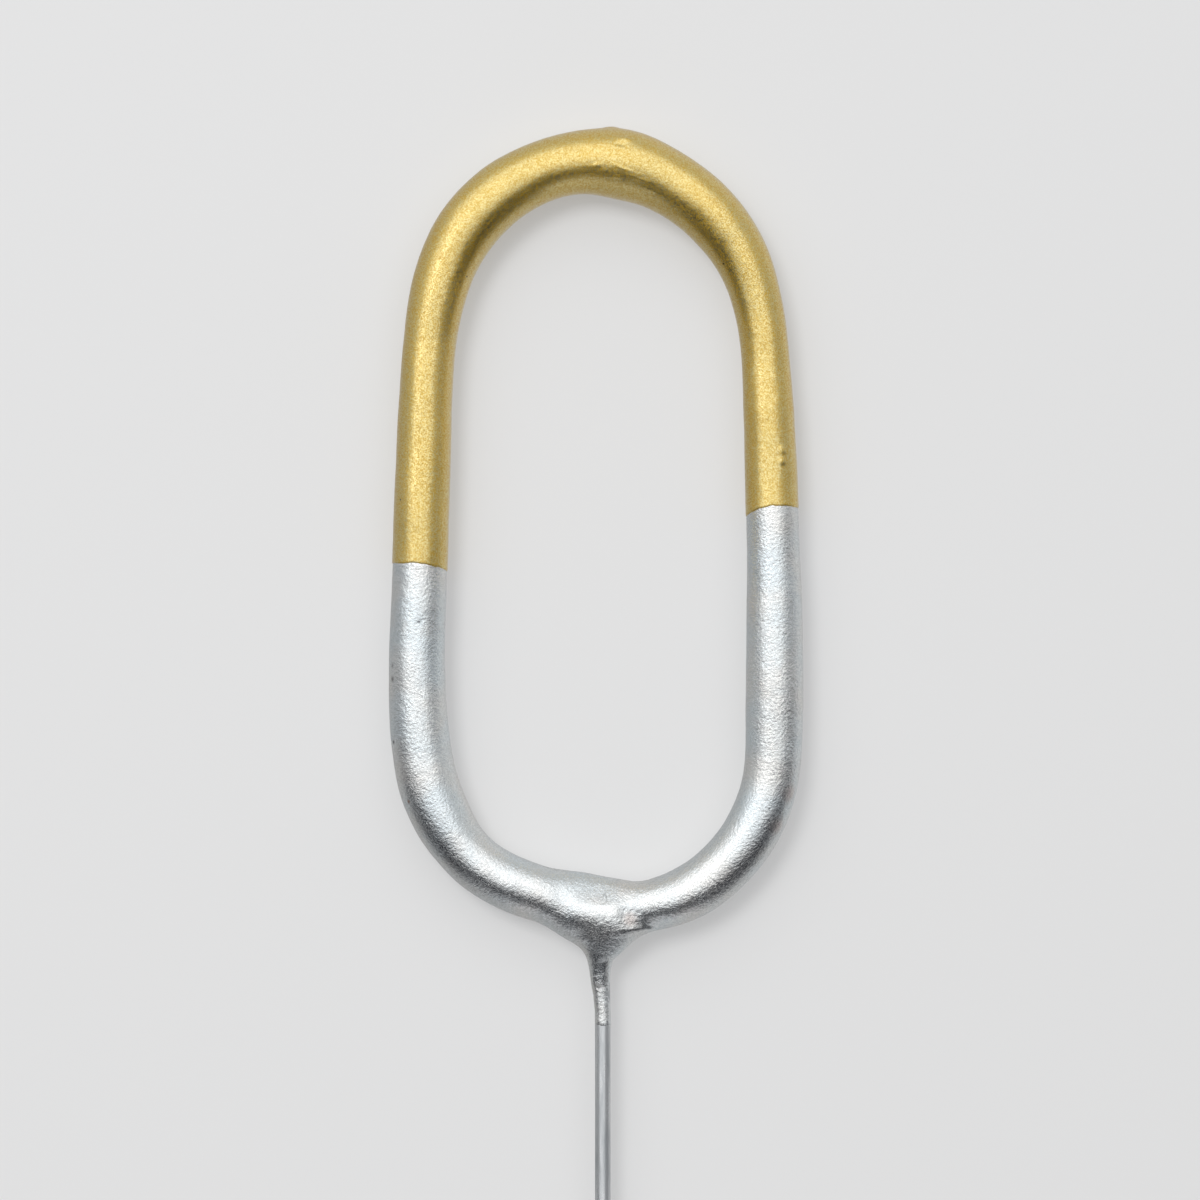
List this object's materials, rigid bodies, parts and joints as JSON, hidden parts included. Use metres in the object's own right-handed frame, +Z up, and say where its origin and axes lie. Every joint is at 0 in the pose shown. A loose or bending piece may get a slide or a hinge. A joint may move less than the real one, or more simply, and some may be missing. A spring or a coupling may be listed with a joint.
{
  "type": "numeral sparkler",
  "caption": "Hand-dipped sparkler shaped as an upright numeral nought on a straight wire stem, silver below and gold above, to be pushed into a cake.",
  "frame": {"origin": "lower tip of the bare stem, on its axis", "axes": "+Z up the stem to the head, -Y the way the numeral faces, +X to the right as seen from the front"},
  "size_m": [0.0371, 0.0064, 0.1799],
  "materials": {
    "galvanised_wire": "dull galvanised wire with fine drawing marks along it",
    "weld_steel": "rough resistance weld, never seen",
    "spark_compound": "dried dark grey mix of metal powder and binder",
    "silver_finish": "bright aluminium coat over compound, satin, finely pitted and sparkling",
    "gold_finish": "gold-coloured metallic powder coat, satin, with a fine sparkling grain"
  },
  "bodies": {
    "root": {"core_wire": "galvanised_wire", "closing_weld": "weld_steel", "fork_bead": "silver_finish", "spark_core": "spark_compound", "silver_coat": "silver_finish", "gold_coat": "gold_finish"}
  },
  "joints": []
}
